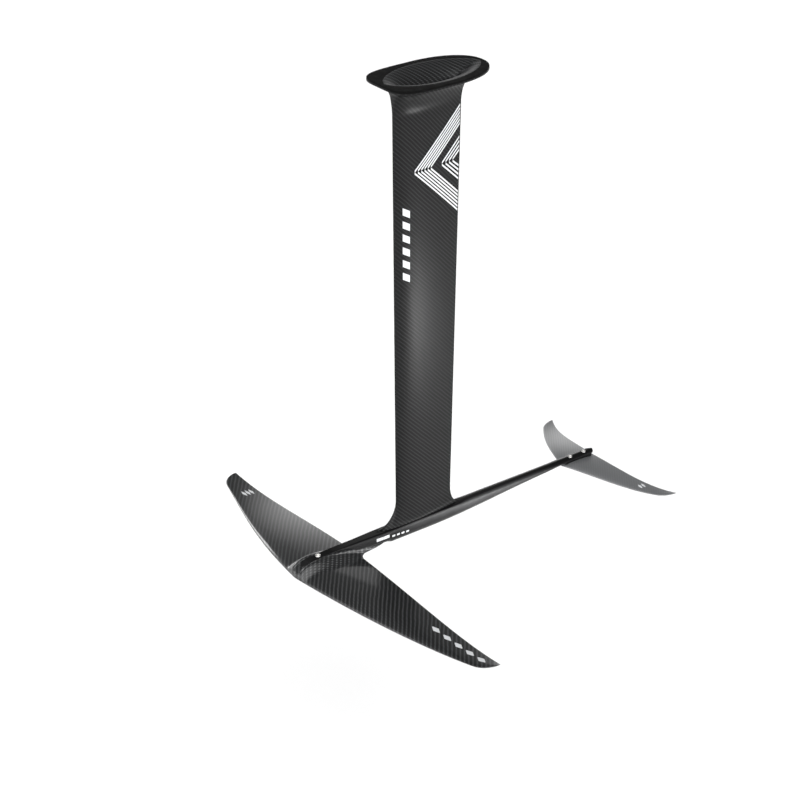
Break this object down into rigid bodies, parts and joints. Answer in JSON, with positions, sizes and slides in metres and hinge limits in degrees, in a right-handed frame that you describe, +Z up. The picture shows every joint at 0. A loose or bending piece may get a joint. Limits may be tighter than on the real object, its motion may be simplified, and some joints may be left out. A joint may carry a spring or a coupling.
{
  "type": "hydrofoil assembly",
  "caption": "Board hydrofoil: a hollow-headed carbon mast on a slim fuselage, with a swept front wing and a small crescent stabilizer bolted on.",
  "frame": {"origin": "centre plane of the mast head's flat top face, 75.5 mm behind the blade's nose line", "axes": "+X forward to the nose of the fuselage, +Y to port, +Z up out of the mast head towards the board; the mast hangs down -Z"},
  "size_m": [0.7565, 0.8096, 0.903],
  "materials": {
    "gloss_carbon": "clear-coated carbon twill, gloss",
    "mast_carbon": "clear-coated carbon, fine weave, gloss",
    "matte_black": "matte black moulding",
    "gloss_black": "gloss black carbon moulding",
    "laminate": "solid carbon laminate, bare",
    "foam": "closed-cell foam",
    "stainless": "stainless steel, fine turned",
    "film": "pale printed film under lacquer"
  },
  "bodies": {
    "root": {"head_rim": "matte_black", "mast_head": "mast_carbon", "head_socket_liner": "gloss_carbon", "head_threaded_inserts": "stainless", "mast_skin_port": "mast_carbon", "mast_skin_starboard": "mast_carbon", "mast_shear_web": "laminate", "mast_core_front": "foam", "mast_core_rear": "foam", "mast_foot": "mast_carbon", "fuselage_shell_port": "gloss_black", "fuselage_shell_starboard": "gloss_black", "fuselage_core": "foam", "fuselage_inserts": "stainless", "front_wing_upper_skin": "gloss_carbon", "front_wing_lower_skin": "gloss_carbon", "front_wing_root_block": "laminate", "front_wing_core_port": "foam", "front_wing_core_starboard": "foam", "front_wing_nose_bolt": "stainless", "front_wing_nose_insert": "stainless", "front_wing_lower_bolts": "stainless", "stabilizer_upper_skin": "gloss_carbon", "stabilizer_lower_skin": "gloss_carbon", "stabilizer_root_block": "laminate", "stabilizer_core_port": "foam", "stabilizer_core_starboard": "foam", "stabilizer_saddle": "matte_black", "stabilizer_bolts": "stainless", "stabilizer_tee_nuts": "stainless", "mast_graphic": "film", "fuselage_graphic": "film", "front_wing_graphic": "film", "stabilizer_graphic": "film"}
  },
  "joints": []
}
